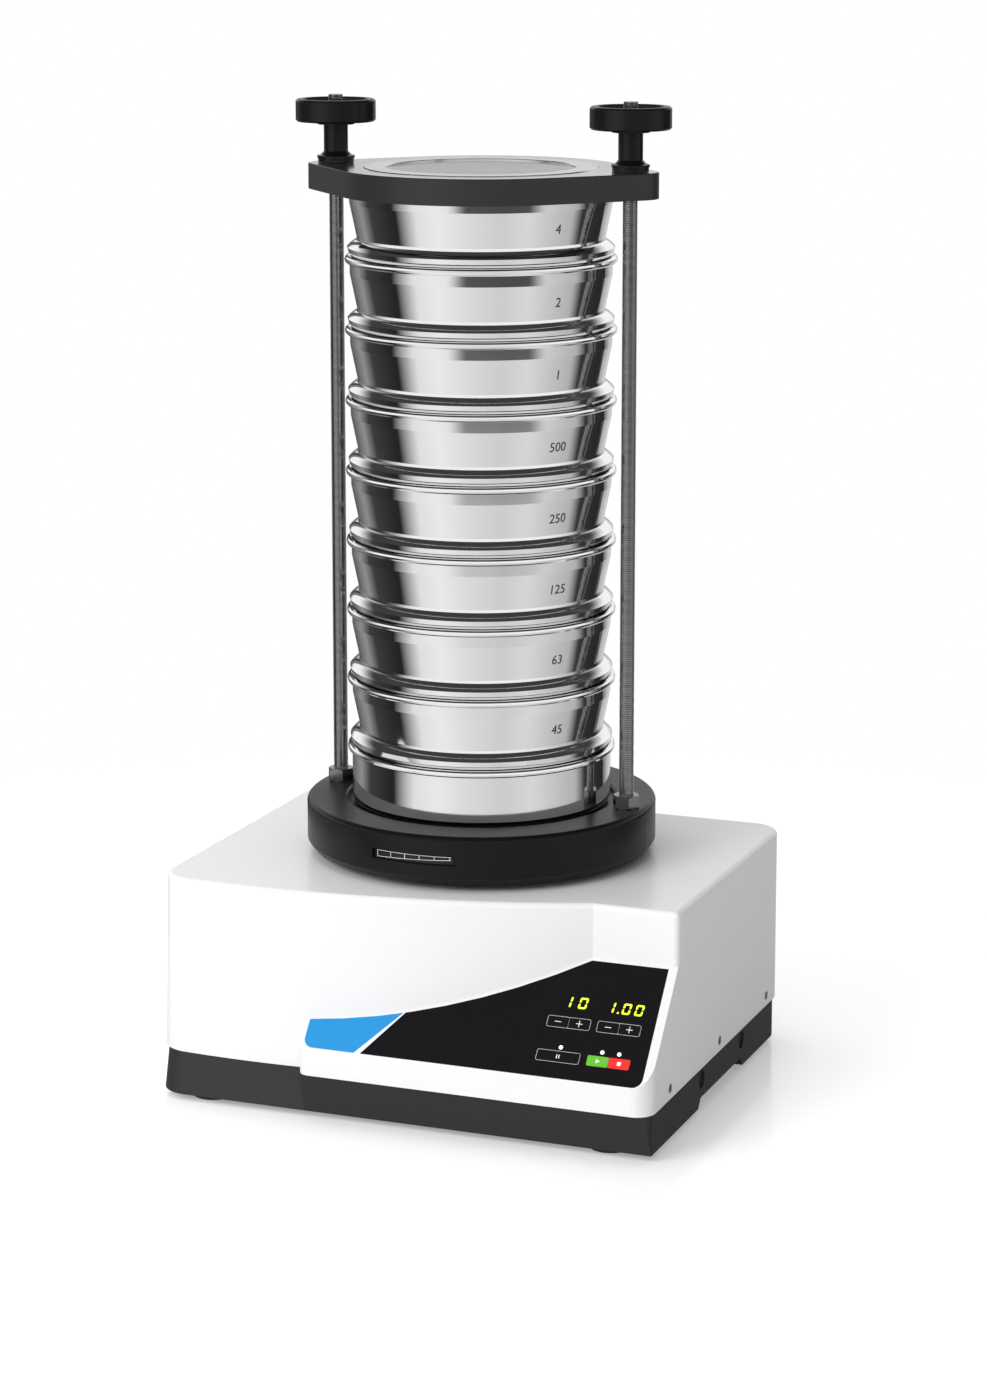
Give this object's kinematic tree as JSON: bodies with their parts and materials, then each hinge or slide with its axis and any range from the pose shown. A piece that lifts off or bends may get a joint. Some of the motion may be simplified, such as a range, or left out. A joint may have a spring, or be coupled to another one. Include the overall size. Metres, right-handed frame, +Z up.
{
  "type": "sieve shaker",
  "caption": "Laboratory vibratory sieve shaker: nested test sieves and a pan clamped by a lid and two threaded rods on a swinging plate over a housing with a sloping key panel.",
  "frame": {"origin": "on the floor, under the middle of the housing's plan", "axes": "+Z up, +X to the right seen from the control panel, +Y to the back"},
  "size_m": [0.417, 0.341, 0.7765],
  "materials": {
    "tray_paint": "satin",
    "shell_paint": "satin",
    "cast_iron": "rough",
    "core_steel": "satin",
    "coil_wire": "gloss",
    "spring_steel": "satin",
    "rubber": "matte",
    "fastener": "satin",
    "panel_film": "gloss",
    "display_glass": "gloss",
    "lamp": "gloss",
    "board": "matte",
    "entry_plastic": "satin",
    "aluminium": "satin",
    "plate_paint": "black paint",
    "label": "matte",
    "polished_steel": "mirror polished",
    "mesh_steel": "woven wire",
    "black_anodised": "black anodised",
    "window": "clear",
    "knob_plastic": "satin",
    "key_black": "gloss",
    "key_green": "gloss",
    "key_red": "gloss"
  },
  "bodies": {
    "housing": {"base_tray": "tray_paint", "locating_strips": "tray_paint", "upper_shell": "shell_paint", "counter_mass": "cast_iron", "magnet_core": "core_steel", "magnet_coil": "coil_wire", "leaf_springs": "spring_steel", "spring_clamps": "core_steel", "drive_bellows": "rubber", "rubber_feet": "rubber", "foot_screws": "fastener", "shell_screws": "fastener", "panel_fascia": "panel_film", "display_modules": "display_glass", "status_lamps": "lamp", "control_board": "board", "power_board": "board", "mains_entry": "entry_plastic", "mass_bolts": "fastener"},
    "drive": {"armature": "core_steel"},
    "sieve_head": {"spring_carrier": "aluminium", "sieve_plate": "plate_paint", "plate_screws": "fastener", "clamping_rods": "fastener", "rod_nuts": "fastener", "amplitude_wedge": "label"},
    "pan": {"collecting_pan": "polished_steel"},
    "sieve_1": {"sieve_1_frame": "polished_steel", "sieve_1_mesh": "mesh_steel"},
    "sieve_2": {"sieve_2_frame": "polished_steel", "sieve_2_mesh": "mesh_steel"},
    "sieve_3": {"sieve_3_frame": "polished_steel", "sieve_3_mesh": "mesh_steel"},
    "sieve_4": {"sieve_4_frame": "polished_steel", "sieve_4_mesh": "mesh_steel"},
    "sieve_5": {"sieve_5_frame": "polished_steel", "sieve_5_mesh": "mesh_steel"},
    "sieve_6": {"sieve_6_frame": "polished_steel", "sieve_6_mesh": "mesh_steel"},
    "sieve_7": {"sieve_7_frame": "polished_steel", "sieve_7_mesh": "mesh_steel"},
    "sieve_8": {"sieve_8_frame": "polished_steel", "sieve_8_mesh": "mesh_steel"},
    "lid": {"clamping_lid": "black_anodised", "lid_ring": "aluminium", "lid_window": "window"},
    "left_washer": {"left_thrust_washer": "black_anodised"},
    "left_nut": {"left_knob": "knob_plastic", "left_sleeve": "black_anodised"},
    "right_washer": {"right_thrust_washer": "black_anodised"},
    "right_nut": {"right_knob": "knob_plastic", "right_sleeve": "black_anodised"},
    "time_minus": {"time_minus_key": "key_black"},
    "time_plus": {"time_plus_key": "key_black"},
    "amplitude_minus": {"amplitude_minus_key": "key_black"},
    "amplitude_plus": {"amplitude_plus_key": "key_black"},
    "pause": {"pause_key": "key_black"},
    "start": {"start_key": "key_green"},
    "stop": {"stop_key": "key_red"},
    "power_switch": {"power_rocker": "key_black"}
  },
  "joints": [
    {"name": "drive_throw", "type": "slide", "parent": "housing", "child": "drive", "axis": [0, 0, 1], "range_m": [-0.0015, 0.0015], "stiffness_N_per_m": 300000, "springref_m": 0.00048, "deforming": ["leaf_springs", "drive_bellows"]},
    {"name": "head_twist", "type": "hinge", "parent": "drive", "child": "sieve_head", "pos_m": [0, 0.0205, 0.2], "axis": [0, 0, 1], "range_deg": [-0.6, 0.6]},
    {"name": "pan_lift", "type": "slide", "parent": "sieve_head", "child": "pan", "axis": [0, 0, 1], "range_m": [0, 0.06]},
    {"name": "sieve_1_lift", "type": "slide", "parent": "pan", "child": "sieve_1", "axis": [0, 0, 1], "range_m": [0, 0.06]},
    {"name": "sieve_2_lift", "type": "slide", "parent": "sieve_1", "child": "sieve_2", "axis": [0, 0, 1], "range_m": [0, 0.06]},
    {"name": "sieve_3_lift", "type": "slide", "parent": "sieve_2", "child": "sieve_3", "axis": [0, 0, 1], "range_m": [0, 0.06]},
    {"name": "sieve_4_lift", "type": "slide", "parent": "sieve_3", "child": "sieve_4", "axis": [0, 0, 1], "range_m": [0, 0.06]},
    {"name": "sieve_5_lift", "type": "slide", "parent": "sieve_4", "child": "sieve_5", "axis": [0, 0, 1], "range_m": [0, 0.06]},
    {"name": "sieve_6_lift", "type": "slide", "parent": "sieve_5", "child": "sieve_6", "axis": [0, 0, 1], "range_m": [0, 0.06]},
    {"name": "sieve_7_lift", "type": "slide", "parent": "sieve_6", "child": "sieve_7", "axis": [0, 0, 1], "range_m": [0, 0.06]},
    {"name": "sieve_8_lift", "type": "slide", "parent": "sieve_7", "child": "sieve_8", "axis": [0, 0, 1], "range_m": [0, 0.06]},
    {"name": "lid_lift", "type": "slide", "parent": "sieve_8", "child": "lid", "axis": [0, 0, 1], "range_m": [0, 0.08]},
    {"name": "left_washer_rise", "type": "slide", "parent": "lid", "child": "left_washer", "axis": [0, 0, 1], "range_m": [0, 0.01225]},
    {"name": "left_nut_turn", "type": "hinge", "parent": "left_washer", "child": "left_nut", "pos_m": [-0.1226, 0.0205, 0.76], "axis": [0, 0, 1], "range_deg": [0, 2520]},
    {"name": "right_washer_rise", "type": "slide", "parent": "lid", "child": "right_washer", "axis": [0, 0, 1], "range_m": [0, 0.01225]},
    {"name": "right_nut_turn", "type": "hinge", "parent": "right_washer", "child": "right_nut", "pos_m": [0.1226, 0.0205, 0.76], "axis": [0, 0, 1], "range_deg": [0, 2520]},
    {"name": "time_minus_press", "type": "slide", "parent": "housing", "child": "time_minus", "axis": [0, 0.7584, -0.6518], "range_m": [0, 0.0004], "stiffness_N_per_m": 4000},
    {"name": "time_plus_press", "type": "slide", "parent": "housing", "child": "time_plus", "axis": [0, 0.7584, -0.6518], "range_m": [0, 0.0004], "stiffness_N_per_m": 4000},
    {"name": "amplitude_minus_press", "type": "slide", "parent": "housing", "child": "amplitude_minus", "axis": [0, 0.7584, -0.6518], "range_m": [0, 0.0004], "stiffness_N_per_m": 4000},
    {"name": "amplitude_plus_press", "type": "slide", "parent": "housing", "child": "amplitude_plus", "axis": [0, 0.7584, -0.6518], "range_m": [0, 0.0004], "stiffness_N_per_m": 4000},
    {"name": "pause_press", "type": "slide", "parent": "housing", "child": "pause", "axis": [0, 0.7584, -0.6518], "range_m": [0, 0.0004], "stiffness_N_per_m": 4000},
    {"name": "start_press", "type": "slide", "parent": "housing", "child": "start", "axis": [0, 0.7584, -0.6518], "range_m": [0, 0.0004], "stiffness_N_per_m": 4000},
    {"name": "stop_press", "type": "slide", "parent": "housing", "child": "stop", "axis": [0, 0.7584, -0.6518], "range_m": [0, 0.0004], "stiffness_N_per_m": 4000},
    {"name": "power_toggle", "type": "hinge", "parent": "housing", "child": "power_switch", "pos_m": [0.12, 0.1635, 0.1], "axis": [1, 0, 0], "range_deg": [0, 16]}
  ],
  "couplings": [
    {"joint": "head_twist", "follows": "drive_throw", "rad_per_m": 5.8333},
    {"joint": "left_washer_rise", "follows": "left_nut_turn", "m_per_rad": 0.00027852},
    {"joint": "right_washer_rise", "follows": "right_nut_turn", "m_per_rad": 0.00027852}
  ]
}
